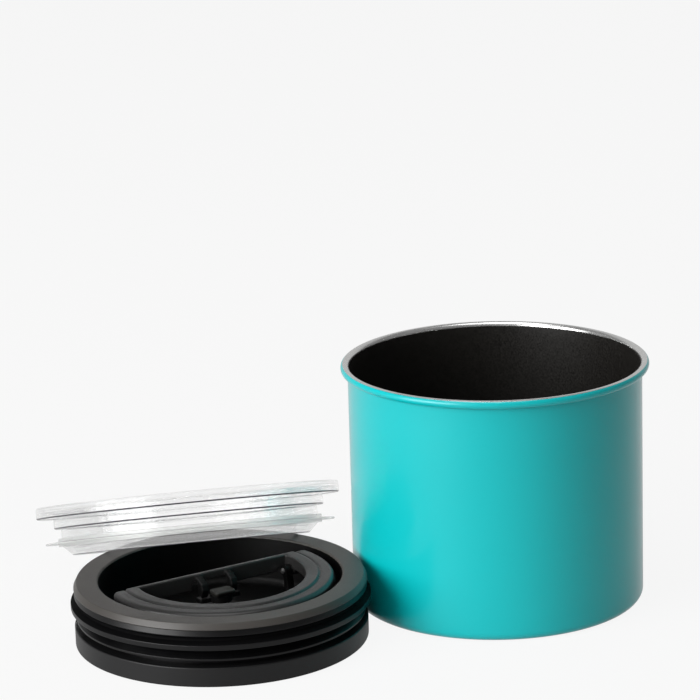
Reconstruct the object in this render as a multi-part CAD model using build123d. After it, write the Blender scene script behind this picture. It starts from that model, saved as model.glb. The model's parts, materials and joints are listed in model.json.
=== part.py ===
"""Coffee canister with a plunger lid, its valve and handle, and a clear outer lid leaning on it.

Millimetres, +Z up. The origin is the centre of the canister's base, on the table, and +Y points
away from the viewer. The inner lid stands on the table in front and to the left of the canister,
and the clear outer lid leans on the inner lid with its far edge on the table.
"""
from build123d import *
from math import asin, cos, degrees, pi, radians, sin, sqrt, tan
import os

# Canister: a steel wall with an outward curl at the mouth and a base disc let in at the foot
canister_height = 101.4
bore_radius = 59.9
sheet = 0.6
curl_radius = 1.75
curl_sweep = 295.0
foot_corner_radius = 3.5
foot_land = 3.0
base_bead_inset = 9.0
base_bead_width = 4.0
base_bead_height = 0.8
base_bead_fillet = 0.9

# Where the loose lids stand, and how far the handle's hinge line is turned
stand_gap = 0.52
stand_bearing = 200.5
handle_heading = 32.0
lean_heading = 12.3
lean_share = 0.7922
rest_gap = 0.3

# Inner lid: upper moulding with flange, dish and floor
flange_clearance = 0.4
flange_width = 10.0
flange_bevel_width = 1.2
flange_bevel_height = 2.3
flange_edge = 0.4
flange_fillet = 0.4
dish_draft = 1.9
dish_mouth_fillet = 1.0
dish_floor_fillet = 3.0
lid_wall = 1.9
floor_top = 6.2
floor_thickness = 2.4

# Inner lid: lower ring and the plate let into it
ring_clearance = 0.3
ring_height = 8.0
ring_wall = 2.2
ring_shelf = 1.6
ring_top_fillet = 0.5
plate_recess = 0.4
plate_thickness = 2.2
plate_rim_width = 4.0
vent_slots = 8
vent_inner_radius = 6.0
vent_outer_radius = 14.0
vent_width = 2.4

# Wiper seals round the neck. Widths are shares of the reach from the neck to the lip, and
# heights are shares of the neck from the ring up to the flange
upper_lip_squeeze = 1.0
lower_lip_clearance = 1.3
collar_width_share = 0.36
upper_shoulder_share = 0.78
upper_crest_share = 0.85
upper_groove_share = 0.735
upper_groove_fillet = 0.8
upper_undercut_share = 0.2
hollow_width_share = 0.58
lower_shoulder_share = 0.55
lower_crest_share = 0.78
lower_undercut_share = 0.17
joint_height_share = 0.405
upper_crest_height_share = 0.84
upper_groove_top_share = 0.79
upper_groove_bottom_share = 0.715
upper_lip_top_share = 0.625
upper_lip_bottom_share = 0.49
upper_hollow_share = 0.68
lower_crest_height_share = 0.3
lower_lip_top_share = 0.215
lower_lip_bottom_share = 0.155
lower_hollow_share = 0.275
lip_fillet = 0.3

# Handle: a D-shaped grip on a straight bar, with two pivot bosses and two cam lobes
grip_clearance = 1.0
grip_width = 11.9
grip_above_pivot = 5.7
grip_groove_inset = 5.7
grip_groove_width = 0.9
grip_groove_depth = 0.9
grip_step = 0.4
grip_roll_fillet = 2.4
grip_edge_fillet = 0.6
handle_depth = 5.4
bar_front = 5.6
bar_thickness = 2.2
bar_drop = 1.5
bar_end_gap = 4.2
bar_end_fillet = 4.0
bar_notch_half = 9.8
channel_inset = 2.4
channel_depth = 2.8
channel_ribs = 5
channel_rib_width = 1.6
channel_front = 3.5

# Hinge of the handle
pivot_offset = 2.6
pivot_boss_radius = 2.4
pivot_boss_reach = 8.4
pin_radius = 1.2
pin_reach = 7.2
pin_head_gap = 0.5
running_clearance = 0.05
side_clearance = 0.7
ear_width = 2.8
ear_front = 5.2
ear_back_gap = 0.4
ear_gusset_width = 2.0
ear_gusset_height = 6.8

# Cam: its distance from the pivot to the crosshead falls steadily as the handle rises
cam_reach_shut = 3.4
valve_travel = 1.8
handle_range = 86.0
cam_gap = 0.15
cam_steps = 6
lobe_inner = 5.3
lobe_width = 3.0
notch_rise = 2.6
lobe_blend = 0.6

# Valve: plug, stem, crosshead with its button, housing, spring and screws
port_radius = 4.0
seat_width = 1.2
seat_height = 0.8
seat_gap = 0.05
plug_radius = 5.6
plug_thickness = 1.6
plug_fillet = 0.4
stem_radius = 1.6
stem_foot_radius = 2.6
stem_foot_height = 0.9
stem_shoulder_radius = 3.0
stem_shoulder_height = 0.9
housing_headroom = 0.25
housing_outer_radius = 8.0
housing_wall = 1.6
housing_top = 1.2
housing_fillet = 0.8
window_count = 4
window_width = 5.0
window_height = 3.0
window_sill = 1.0
screw_spread = 11.2
screw_lug_radius = 2.8
screw_lug_height = 1.6
screw_radius = 1.0
screw_hole_gap = 0.2
screw_head_radius = 2.0
screw_head_height = 1.3
screw_head_fillet = 0.5
screw_bite = 1.8
crosshead_gap = 2.35
arm_half_length = 9.2
arm_thickness = 1.6
arm_front = 2.4
arm_back = 2.0
hub_radius = 4.6
hub_height = 3.05
hub_top = 1.0
spring_pocket_radius = 3.5
spring_radius = 2.6
spring_wire_radius = 0.25
spring_turns = 4
button_length = 9.4
button_width = 6.4
button_height = 1.8
button_setback = 1.4
button_fillet = 1.4
button_edge = 0.5

# Clear outer lid, heights measured down from its top face, and its silicone seal
outer_rim_overhang = 1.2
outer_top = 2.2
outer_rim_depth = 5.0
outer_rim_width = 2.2
outer_edge_fillet = 0.8
outer_wall = 2.2
shoulder_clearance = 2.4
shoulder_depth = 9.6
shoulder_step = 2.9
groove_depth = 13.6
groove_height = 3.4
groove_width = 1.6
skirt_taper = 4.2
skirt_below_groove = 4.0
seal_collar_width = 1.6
fin_squeeze = 1.7
fin_thickness = 0.8
fin_droop = 0.5
seal_fillet = 0.25

# Shared overrun for cuts
overrun = 1.0

# Values that follow from the sizes above
wall_radius = bore_radius + sheet
seam_radius = wall_radius - foot_corner_radius - foot_land
curl_centre_radius = bore_radius + curl_radius
curl_centre_height = canister_height - curl_radius
rim_radius = curl_centre_radius + curl_radius

flange_radius = bore_radius - flange_clearance
dish_mouth_radius = flange_radius - flange_width
dish_floor_radius = dish_mouth_radius - dish_draft
neck_radius = dish_mouth_radius + lid_wall
floor_bottom = floor_top - floor_thickness
ring_radius = bore_radius - ring_clearance

seat_top = floor_top + seat_height
plug_bottom = seat_top + seat_gap
plug_top = plug_bottom + plug_thickness
stem_shoulder_top = plug_top + stem_shoulder_height
housing_ceiling = stem_shoulder_top + valve_travel + housing_headroom
housing_height = housing_ceiling + housing_top
arm_bottom = housing_height + crosshead_gap
arm_top = arm_bottom + arm_thickness
hub_ceiling = arm_bottom + hub_height - hub_top
stem_top = arm_bottom + hub_height
cam_rate = valve_travel / radians(handle_range)

pivot_height = arm_top + cam_gap + cam_reach_shut
lid_height = pivot_height + grip_above_pivot
flange_underside = lid_height - flange_bevel_height - flange_edge
handle_top = lid_height
handle_bottom = handle_top - handle_depth
bar_back = bar_front + bar_thickness
grip_outer_radius = dish_floor_radius - grip_clearance
grip_inner_radius = grip_outer_radius - grip_width
grip_groove_radius = grip_inner_radius + grip_groove_inset
ear_outer = grip_inner_radius - side_clearance
ear_inner = ear_outer - ear_width

upper_lip_radius = bore_radius + upper_lip_squeeze
upper_reach = upper_lip_radius - neck_radius
lower_lip_radius = bore_radius - lower_lip_clearance
lower_reach = lower_lip_radius - neck_radius
neck_span = flange_underside - ring_height
seal_joint_height = ring_height + neck_span * joint_height_share

shoulder_radius = bore_radius - shoulder_clearance
plug_wall_radius = shoulder_radius - shoulder_step
skirt_foot_radius = plug_wall_radius - skirt_taper
outer_flange_radius = rim_radius + outer_rim_overhang
skirt_depth = groove_depth + groove_height + skirt_below_groove
seal_collar_radius = plug_wall_radius + seal_collar_width
fin_radius = bore_radius + fin_squeeze

stand_distance = upper_lip_radius + wall_radius + stand_gap
inner_lid_x = stand_distance * cos(radians(stand_bearing))
inner_lid_y = stand_distance * sin(radians(stand_bearing))

os.makedirs("parts", exist_ok=True)


def face_from(corners):
    """Flat face in the X-Z plane from (radius, height) or (radius, height, fillet) corners."""
    points = [(corner[0], corner[1]) for corner in corners]
    fillets = [corner[2] if len(corner) > 2 else 0 for corner in corners]
    outline = FilletPolyline(*points, radius=fillets, close=True)
    return Plane.XZ * make_face(outline)


def turned(corners):
    """Solid of revolution about Z with the given section."""
    return revolve(face_from(corners), Axis.Z)


def block(x_range, y_range, z_range):
    """Rectangular block between pairs of coordinates."""
    size = [high - low for low, high in (x_range, y_range, z_range)]
    centre = [(high + low) / 2 for low, high in (x_range, y_range, z_range)]
    return Pos(*centre) * Box(*size)


def upright(radius, bottom, top, x=0, y=0):
    """Upright cylinder between two heights."""
    return Pos(x, y, (bottom + top) / 2) * Cylinder(radius, top - bottom)


def along_x(radius, start, end, y, z):
    """Cylinder along X between two positions."""
    return Pos((start + end) / 2, y, z) * Rot(0, 90, 0) * Cylinder(radius, abs(end - start))


def both_sides(solid):
    """The solid and its mirror image across the Y-Z plane."""
    return [solid, mirror(solid, Plane.YZ)]


# Canister


def make_canister_wall():
    """Drawn wall: turned-in foot, straight bore and rolled curl, as one strip of sheet."""
    corner_centre = wall_radius - foot_corner_radius
    curl_centre = (curl_centre_radius, curl_centre_height)
    outer_curl = CenterArc(curl_centre, curl_radius, 180, -curl_sweep)
    inner_curl = CenterArc(curl_centre, curl_radius - sheet, 180, -curl_sweep)
    outer_corner = CenterArc((corner_centre, foot_corner_radius), foot_corner_radius, 0, -90)
    inner_corner = CenterArc((corner_centre, foot_corner_radius), foot_corner_radius - sheet, 0, -90)
    strip = [
        Line(inner_corner @ 0, outer_curl @ 0),
        outer_curl,
        Line(outer_curl @ 1, inner_curl @ 1),
        inner_curl,
        Line(inner_curl @ 0, outer_corner @ 0),
        outer_corner,
        Polyline(outer_corner @ 1, (seam_radius, 0), (seam_radius, sheet), inner_corner @ 1),
        inner_corner,
    ]
    return revolve(Plane.XZ * make_face(Curve() + strip), Axis.Z)


def make_canister_base():
    """Base disc, butt-welded inside the turned-in foot, with a pressed stiffening bead."""
    outer = seam_radius - base_bead_inset
    inner = outer - base_bead_width
    slope = base_bead_height + sheet
    return turned([
        (0, 0),
        (inner - slope, 0, base_bead_fillet),
        (inner, base_bead_height, base_bead_fillet),
        (outer, base_bead_height, base_bead_fillet),
        (outer + slope, 0, base_bead_fillet),
        (seam_radius, 0),
        (seam_radius, sheet),
        (outer + slope - sheet / 2, sheet, base_bead_fillet),
        (outer - sheet / 2, base_bead_height + sheet, base_bead_fillet),
        (inner + sheet / 2, base_bead_height + sheet, base_bead_fillet),
        (inner - slope + sheet / 2, sheet, base_bead_fillet),
        (0, sheet),
    ])


# Inner lid, modelled about its own axis with the hinge line along X and the grip towards -Y


def ear_section():
    """Side outline of a hinge ear: a leaning post with a round eye."""
    post_back = pivot_offset - ear_back_gap
    shoulder = pivot_height - pivot_boss_radius
    post = make_face(Polyline(
        (post_back - ear_front, floor_top - lid_wall),
        (post_back, floor_top - lid_wall),
        (post_back, shoulder + ear_back_gap),
        (pivot_offset - pivot_boss_radius * cos(radians(45)), pivot_height + pivot_boss_radius * sin(radians(45))),
        (post_back - ear_front / 2, shoulder),
        close=True,
    ))
    eye = Pos(pivot_offset, pivot_height) * Circle(pivot_boss_radius)
    return post + eye


def make_lid_body():
    """Flange, tapering dish, floor with the valve's seat, and the two hinge ears."""
    port_rim = port_radius + seat_width
    body = turned([
        (port_radius, floor_bottom),
        (neck_radius, floor_bottom),
        (neck_radius, flange_underside),
        (flange_radius, flange_underside),
        (flange_radius, flange_underside + flange_edge),
        (flange_radius - flange_bevel_width, lid_height, flange_fillet),
        (dish_mouth_radius, lid_height, dish_mouth_fillet),
        (dish_floor_radius, floor_top, dish_floor_fillet),
        (port_rim, floor_top),
        (port_rim, seat_top),
        (port_radius, seat_top),
    ])
    ear = extrude(Plane.YZ.offset(ear_inner) * ear_section(), ear_width)
    gusset = block(
        (ear_outer - overrun, dish_floor_radius + lid_wall / 2),
        (-ear_gusset_width / 2, ear_gusset_width / 2),
        (floor_top - lid_wall, floor_top + ear_gusset_height),
    )
    eye_hole = along_x(
        pin_radius + running_clearance, ear_inner - overrun, ear_outer + overrun, pivot_offset, pivot_height
    )
    for bracket in both_sides(ear + gusset - eye_hole):
        body += bracket
    for side in (-1, 1):
        body -= upright(screw_radius, floor_top - screw_bite, floor_top + overrun, x=side * screw_spread)
    return body


def make_lid_base():
    """Lower ring: outer wall and the shelf that carries the seals."""
    return turned([
        (ring_radius - ring_wall, 0),
        (ring_radius, 0, ring_top_fillet),
        (ring_radius, ring_height, ring_top_fillet),
        (neck_radius, ring_height),
        (neck_radius, ring_height - ring_shelf),
        (ring_radius - ring_wall, ring_height - ring_shelf, ring_top_fillet),
    ])


def make_bottom_plate():
    """Plate closing the underside, with a rim that meets the floor and a ring of vent slots."""
    plate_top = plate_recess + plate_thickness
    plate = turned([
        (0, plate_recess),
        (ring_radius - ring_wall, plate_recess),
        (ring_radius - ring_wall, plate_top),
        (neck_radius, plate_top),
        (neck_radius, floor_bottom),
        (neck_radius - plate_rim_width, floor_bottom),
        (neck_radius - plate_rim_width, plate_top),
        (0, plate_top),
    ])
    slot_length = vent_outer_radius - vent_inner_radius
    slot_middle = (vent_outer_radius + vent_inner_radius) / 2
    for index in range(vent_slots):
        slot = Pos(slot_middle, 0) * SlotOverall(slot_length, vent_width)
        cut = extrude(slot, plate_top + overrun)
        plate -= Rot(0, 0, index * 360 / vent_slots) * cut
    return plate


def seal_point(reach, width_share, height_share, corner_fillet=0):
    """Corner of a seal from its shares of the reach beyond the neck and of the neck's height."""
    return neck_radius + reach * width_share, ring_height + neck_span * height_share, corner_fillet


def make_upper_seal():
    """Upper wiper: collar under the flange, a rounded crest, a groove, and a lip wider than the bore."""
    return turned([
        (neck_radius, seal_joint_height),
        (neck_radius, flange_underside),
        (neck_radius + upper_reach * upper_shoulder_share, flange_underside),
        seal_point(upper_reach, upper_crest_share, upper_crest_height_share, lip_fillet),
        seal_point(upper_reach, upper_groove_share, upper_groove_top_share, upper_groove_fillet),
        seal_point(upper_reach, upper_groove_share, upper_groove_bottom_share, upper_groove_fillet),
        seal_point(upper_reach, 1, upper_lip_top_share, lip_fillet),
        seal_point(upper_reach, 1, upper_lip_bottom_share, lip_fillet),
        seal_point(upper_reach, 1 - upper_undercut_share, upper_lip_bottom_share, lip_fillet),
        seal_point(upper_reach, hollow_width_share, upper_hollow_share, lip_fillet),
        seal_point(upper_reach, collar_width_share, upper_hollow_share, lip_fillet),
        seal_point(upper_reach, collar_width_share, joint_height_share),
    ])


def make_lower_seal():
    """Lower wiper: the same form, smaller and plainer, standing on the ring's shelf."""
    return turned([
        (neck_radius, ring_height),
        (neck_radius, seal_joint_height),
        (neck_radius + lower_reach * lower_shoulder_share, seal_joint_height),
        seal_point(lower_reach, lower_crest_share, lower_crest_height_share, lip_fillet),
        seal_point(lower_reach, 1, lower_lip_top_share),
        seal_point(lower_reach, 1, lower_lip_bottom_share),
        seal_point(lower_reach, 1 - lower_undercut_share, lower_lip_bottom_share),
        seal_point(lower_reach, hollow_width_share, lower_hollow_share, lip_fillet),
        seal_point(lower_reach, collar_width_share, lower_hollow_share),
        (neck_radius + lower_reach * collar_width_share, ring_height),
    ])


# Handle


def cam_point(turn):
    """Point of the cam that presses on the crosshead when the handle has turned by this angle."""
    angle = radians(turn)
    reach = cam_reach_shut - cam_rate * angle
    across = pivot_offset + reach * sin(angle) - cam_rate * cos(angle)
    up = pivot_height - reach * cos(angle) - cam_rate * sin(angle)
    return across, up


def lobe_section():
    """Cam outline: a curve of steadily falling reach below, joined to the bar above the notch."""
    curve = Spline(*[cam_point(handle_range * step / cam_steps) for step in range(cam_steps + 1)])
    last_reach = cam_reach_shut - valve_travel
    notch = pivot_height + notch_rise
    back = Polyline(
        curve @ 1,
        (pivot_offset + last_reach, notch - lobe_blend),
        (bar_front + lobe_blend, notch + lobe_blend),
        (bar_front + lobe_blend, handle_top - grip_groove_depth),
        (bar_front - lobe_blend, handle_top - grip_groove_depth),
        (pivot_offset - last_reach, notch),
        (pivot_offset - cam_reach_shut * cos(radians(45)), pivot_height),
        curve @ 0,
    )
    return make_face(Curve() + [curve, back])


def make_handle():
    """D-shaped grip with a rolled outer edge, a thin bar, pivot bosses and cam lobes."""
    groove_inner = grip_groove_radius - grip_groove_width / 2
    groove_outer = grip_groove_radius + grip_groove_width / 2
    grip = turned([
        (grip_inner_radius, handle_bottom, grip_edge_fillet),
        (grip_outer_radius, handle_bottom, grip_edge_fillet),
        (grip_outer_radius, handle_top - grip_step, grip_roll_fillet),
        (groove_outer, handle_top - grip_step),
        (groove_outer, handle_top - grip_groove_depth),
        (groove_inner, handle_top - grip_groove_depth),
        (groove_inner, handle_top),
        (grip_inner_radius, handle_top, grip_edge_fillet),
    ])
    channel = turned([
        (grip_inner_radius + channel_inset, handle_bottom - overrun),
        (grip_outer_radius - channel_inset, handle_bottom - overrun),
        (grip_outer_radius - channel_inset, handle_bottom + channel_depth),
        (grip_inner_radius + channel_inset, handle_bottom + channel_depth),
    ])
    reach = grip_outer_radius + overrun
    heights = (handle_bottom - overrun, handle_top + overrun)
    channel &= block((-reach, reach), (-reach, -channel_front), heights)
    for index in range(channel_ribs):
        rib_angle = -180 * (index + 1) / (channel_ribs + 1)
        rib = block((0, reach), (-channel_rib_width / 2, channel_rib_width / 2), heights)
        channel -= Rot(0, 0, rib_angle) * rib
    outline = Circle(grip_outer_radius) & Pos(0, bar_back - reach) * Rectangle(2 * reach, 2 * reach)
    outline = fillet(outline.vertices().group_by(Axis.Y)[-1], bar_end_fillet)
    grip &= Pos(0, 0, handle_bottom - overrun) * extrude(outline, handle_depth + 2 * overrun)
    inner_half = grip_inner_radius + overrun
    deep_half = grip_inner_radius - bar_end_gap
    bar = block((-inner_half, inner_half), (bar_front, bar_back), (handle_bottom, handle_top))
    bar += block((-deep_half, deep_half), (bar_front, bar_back), (handle_bottom - bar_drop, handle_bottom))
    notch_top = pivot_height + notch_rise
    notch = block(
        (-bar_notch_half, bar_notch_half),
        (bar_front - overrun, bar_back + overrun),
        (handle_bottom - bar_drop - overrun, notch_top),
    )
    handle = grip + bar - notch - channel
    boss = along_x(
        pivot_boss_radius,
        grip_inner_radius,
        grip_inner_radius + pivot_boss_reach,
        pivot_offset,
        pivot_height,
    )
    lobe = extrude(Plane.YZ.offset(lobe_inner) * lobe_section(), lobe_width)
    pin_hole = along_x(
        pin_radius, grip_inner_radius - overrun, grip_inner_radius + pin_reach, pivot_offset, pivot_height
    )
    for piece in both_sides(boss) + both_sides(lobe):
        handle += piece
    for hole in both_sides(pin_hole):
        handle -= hole
    return handle


def make_pivot_pins():
    """Two steel pins, pressed into the handle's bosses and turning in the ears."""
    pin = along_x(
        pin_radius, ear_inner - pin_head_gap, grip_inner_radius + pin_reach, pivot_offset, pivot_height
    )
    return Compound(children=both_sides(pin))


# Valve


def make_valve_housing():
    """Cap over the port: windows for the air, a guide for the stem and two screw lugs."""
    inner = housing_outer_radius - housing_wall
    stem_hole = stem_radius + running_clearance
    housing = turned([
        (inner, floor_top),
        (housing_outer_radius, floor_top),
        (housing_outer_radius, housing_height, housing_fillet),
        (stem_hole, housing_height),
        (stem_hole, housing_ceiling),
        (inner, housing_ceiling),
    ])
    window_bottom = floor_top + screw_lug_height + window_sill
    for side in (-1, 1):
        lug = upright(screw_lug_radius, floor_top, floor_top + screw_lug_height, x=side * screw_spread)
        web_ends = sorted((side * (inner + housing_wall / 2), side * screw_spread))
        web = block(web_ends, (-screw_lug_radius, screw_lug_radius), (floor_top, floor_top + screw_lug_height))
        hole = upright(
            screw_radius + screw_hole_gap, floor_top - overrun, housing_height, x=side * screw_spread
        )
        housing += lug + web
        housing -= hole
    for index in range(window_count):
        window = block(
            (inner - overrun, housing_outer_radius + overrun),
            (-window_width / 2, window_width / 2),
            (window_bottom, window_bottom + window_height),
        )
        housing -= Rot(0, 0, (index + 1 / 2) * 360 / window_count) * window
    return housing


def make_housing_screws():
    """Two pan-head screws that hold the housing to the floor."""
    head_bottom = floor_top + screw_lug_height
    screw = turned([
        (0, floor_top - screw_bite),
        (screw_radius, floor_top - screw_bite),
        (screw_radius, head_bottom),
        (screw_head_radius, head_bottom),
        (screw_head_radius, head_bottom + screw_head_height, screw_head_fillet),
        (0, head_bottom + screw_head_height),
    ])
    return Compound(children=both_sides(Pos(screw_spread, 0, 0) * screw))


def make_valve_stem():
    """Stem with a foot below the plug and a shoulder above it."""
    return turned([
        (0, plug_bottom - stem_foot_height),
        (stem_foot_radius, plug_bottom - stem_foot_height),
        (stem_foot_radius, plug_bottom),
        (stem_radius, plug_bottom),
        (stem_radius, plug_top),
        (stem_shoulder_radius, plug_top),
        (stem_shoulder_radius, stem_shoulder_top),
        (stem_radius, stem_shoulder_top),
        (stem_radius, stem_top),
        (0, stem_top),
    ])


def make_valve_plug():
    """Soft disc that closes the port."""
    return turned([
        (stem_radius, plug_bottom),
        (plug_radius, plug_bottom, plug_fillet),
        (plug_radius, plug_top, plug_fillet),
        (stem_radius, plug_top),
    ])


def make_valve_crosshead():
    """Hub on the stem with two arms under the handle's cam lobes and a pocket for the spring."""
    hub = turned([
        (spring_pocket_radius, arm_bottom),
        (hub_radius, arm_bottom),
        (hub_radius, stem_top, button_edge),
        (stem_radius, stem_top),
        (stem_radius, hub_ceiling),
        (spring_pocket_radius, hub_ceiling),
    ])
    arms = block(
        (-arm_half_length, arm_half_length),
        (pivot_offset - arm_front, pivot_offset + arm_back),
        (arm_bottom, arm_top),
    )
    arms = fillet(arms.edges().filter_by(Axis.Z), button_edge)
    return hub + (arms - upright(spring_pocket_radius, arm_bottom - overrun, arm_top + overrun))


def make_valve_button():
    """Rounded grey cap on the crosshead, seen in front of the handle's bar."""
    outline = RectangleRounded(button_length, button_width, button_fillet)
    button = Pos(0, -button_setback, stem_top) * extrude(outline, button_height)
    return fillet(button.edges().group_by(Axis.Z)[-1], button_edge)


def make_valve_spring():
    """Round-wire spring round the stem, between the housing and the crosshead's pocket."""
    height = hub_ceiling - housing_height - 2 * spring_wire_radius
    pitch = height / spring_turns
    least_gap = pitch * cos(pitch / (2 * pi * spring_radius)) - 2 * spring_wire_radius
    print(f"valve spring: {spring_turns} turns, least gap {least_gap:.2f} mm")
    path = Helix(pitch, height, spring_radius)
    start = Plane(origin=path @ 0, z_dir=path % 0)
    wire = sweep(start * Circle(spring_wire_radius), path, is_frenet=True)
    return Pos(0, 0, housing_height + spring_wire_radius) * wire


# Clear outer lid, modelled with its top face at height zero


def make_outer_lid():
    """Clear lid: top plate, down-turned rim, stepped plug wall and tapering skirt, open below."""
    groove_bottom = groove_depth + groove_height
    return turned([
        (0, 0),
        (outer_flange_radius, 0, outer_edge_fillet),
        (outer_flange_radius, -outer_rim_depth, outer_edge_fillet),
        (outer_flange_radius - outer_rim_width, -outer_rim_depth, outer_edge_fillet),
        (outer_flange_radius - outer_rim_width, -outer_top),
        (shoulder_radius, -outer_top),
        (shoulder_radius, -shoulder_depth, outer_edge_fillet),
        (plug_wall_radius, -shoulder_depth),
        (plug_wall_radius, -groove_depth),
        (plug_wall_radius - groove_width, -groove_depth),
        (plug_wall_radius - groove_width, -groove_bottom),
        (plug_wall_radius, -groove_bottom),
        (skirt_foot_radius, -skirt_depth, outer_edge_fillet),
        (skirt_foot_radius - outer_wall, -skirt_depth, outer_edge_fillet),
        (plug_wall_radius - groove_width - outer_wall, -groove_bottom),
        (plug_wall_radius - groove_width - outer_wall, -outer_top, outer_edge_fillet),
        (0, -outer_top),
    ])


def make_outer_lid_seal():
    """Silicone ring in the groove with one thin fin that bears on the bore."""
    groove_bottom = groove_depth + groove_height
    middle = groove_depth + groove_height / 2
    return turned([
        (plug_wall_radius - groove_width, -groove_depth),
        (seal_collar_radius, -groove_depth, seal_fillet),
        (seal_collar_radius, fin_thickness / 2 - middle),
        (fin_radius, fin_thickness / 2 - middle - fin_droop, seal_fillet),
        (fin_radius, -fin_thickness / 2 - middle - fin_droop, seal_fillet),
        (seal_collar_radius, -fin_thickness / 2 - middle),
        (seal_collar_radius, -groove_bottom, seal_fillet),
        (plug_wall_radius - groove_width, -groove_bottom),
    ])


def leaning_place():
    """Place of the outer lid: far edge of the skirt on the table, skirt on the flange's edge."""
    along_skirt = 2 * skirt_foot_radius * lean_share
    tilt = asin(lid_height / along_skirt)
    half_chord = sqrt(along_skirt * (2 * skirt_foot_radius - along_skirt))
    seat_radius = flange_radius - flange_bevel_width + flange_fillet
    seat_distance = sqrt(seat_radius**2 - half_chord**2)
    far_distance = seat_distance + lid_height / tan(tilt)
    centre_distance = far_distance - skirt_foot_radius * cos(tilt) + skirt_depth * sin(tilt)
    centre_height = rest_gap + skirt_foot_radius * sin(tilt) + skirt_depth * cos(tilt)
    heading = radians(lean_heading)
    x = inner_lid_x - centre_distance * sin(heading)
    y = inner_lid_y + centre_distance * cos(heading)
    return Pos(x, y, centre_height) * Rot(0, 0, lean_heading) * Rot(-degrees(tilt), 0, 0)


inner_place = Pos(inner_lid_x, inner_lid_y, 0) * Rot(0, 0, handle_heading)
outer_place = leaning_place()

nodes = {
    "canister_wall": make_canister_wall(),
    "canister_base": make_canister_base(),
    "lid_body": inner_place * make_lid_body(),
    "lid_base": inner_place * make_lid_base(),
    "bottom_plate": inner_place * make_bottom_plate(),
    "upper_seal": inner_place * make_upper_seal(),
    "lower_seal": inner_place * make_lower_seal(),
    "handle": inner_place * make_handle(),
    "pivot_pins": inner_place * make_pivot_pins(),
    "valve_housing": inner_place * make_valve_housing(),
    "housing_screws": inner_place * make_housing_screws(),
    "valve_stem": inner_place * make_valve_stem(),
    "valve_plug": inner_place * make_valve_plug(),
    "valve_crosshead": inner_place * make_valve_crosshead(),
    "valve_button": inner_place * make_valve_button(),
    "valve_spring": inner_place * make_valve_spring(),
    "outer_lid": outer_place * make_outer_lid(),
    "outer_lid_seal": outer_place * make_outer_lid_seal(),
}

for name, solid in nodes.items():
    export_step(solid, f"parts/{name}.step")
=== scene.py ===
"""Looks of a steel coffee canister, its plunger lid with a folding handle, and its clear outer lid.

Lengths in the classes are millimetres, as a maker would draw them; meshes are made in metres.
The studio is laid out in metres, apart from the camera.
"""
from __future__ import annotations

import json
import logging
import math
from collections.abc import Callable
from dataclasses import dataclass
from enum import Enum, IntEnum

import bmesh
import bpy
from mathutils import Matrix, Vector

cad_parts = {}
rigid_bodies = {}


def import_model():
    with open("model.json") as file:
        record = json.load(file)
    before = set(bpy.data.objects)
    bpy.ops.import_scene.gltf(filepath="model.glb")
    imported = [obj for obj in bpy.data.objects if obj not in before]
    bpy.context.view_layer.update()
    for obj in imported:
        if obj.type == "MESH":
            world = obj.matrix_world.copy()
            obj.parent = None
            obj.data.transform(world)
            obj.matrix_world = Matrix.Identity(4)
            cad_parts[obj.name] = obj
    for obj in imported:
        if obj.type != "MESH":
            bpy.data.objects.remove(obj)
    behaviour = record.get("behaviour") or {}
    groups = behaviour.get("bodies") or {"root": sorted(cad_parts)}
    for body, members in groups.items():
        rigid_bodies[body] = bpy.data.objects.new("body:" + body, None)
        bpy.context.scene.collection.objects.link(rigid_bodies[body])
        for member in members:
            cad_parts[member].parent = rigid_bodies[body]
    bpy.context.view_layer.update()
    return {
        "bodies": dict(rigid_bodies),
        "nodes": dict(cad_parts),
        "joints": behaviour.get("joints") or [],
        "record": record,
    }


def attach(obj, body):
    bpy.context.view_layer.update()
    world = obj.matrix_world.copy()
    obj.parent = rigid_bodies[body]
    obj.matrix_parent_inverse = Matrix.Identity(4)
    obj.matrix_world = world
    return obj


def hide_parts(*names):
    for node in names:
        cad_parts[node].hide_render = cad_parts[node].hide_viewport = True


MM = 0.001
LID_X = -114.199
LID_Y = -42.697
LID_HEADING = 32.0

# The part of a noise's range that carries nearly all of it
NOISE_LOW, NOISE_HIGH = 0.3, 0.7

# Outlines, in millimetres: points near the ends of each long run keep its shading flat
FILLET_STEPS = 6
HOLD = 0.12
HELD_RUN = 5 * HOLD
TOUCH = 0.01

# Points nearer than this are joined, in metres
SAME_POINT = 2e-6
SAME_SEAM = 1e-6
SLIVER = 1e-7

log = logging.getLogger("canister")

Corner = tuple[float, ...]
Point = tuple[float, float]
Span = tuple[float, float]
Place = tuple[float, float, float]
Colour = tuple[float, float, float]
Extras = tuple[tuple[str, float], ...]
Inputs = dict[str | int, object]
Zone = Callable[[Vector], int]

FRAME: dict = {}


class Body(Enum):
    """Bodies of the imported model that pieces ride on."""

    CANISTER = "canister"
    INNER_LID = "inner_lid"
    HANDLE = "handle"
    VALVE = "valve"
    OUTER_LID = "outer_lid"


class Skin(IntEnum):
    """Finishes of the canister's wall, in the order of their material slots."""

    COATING = 0
    STEEL = 1
    ENAMEL = 2


# Node trees


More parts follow.
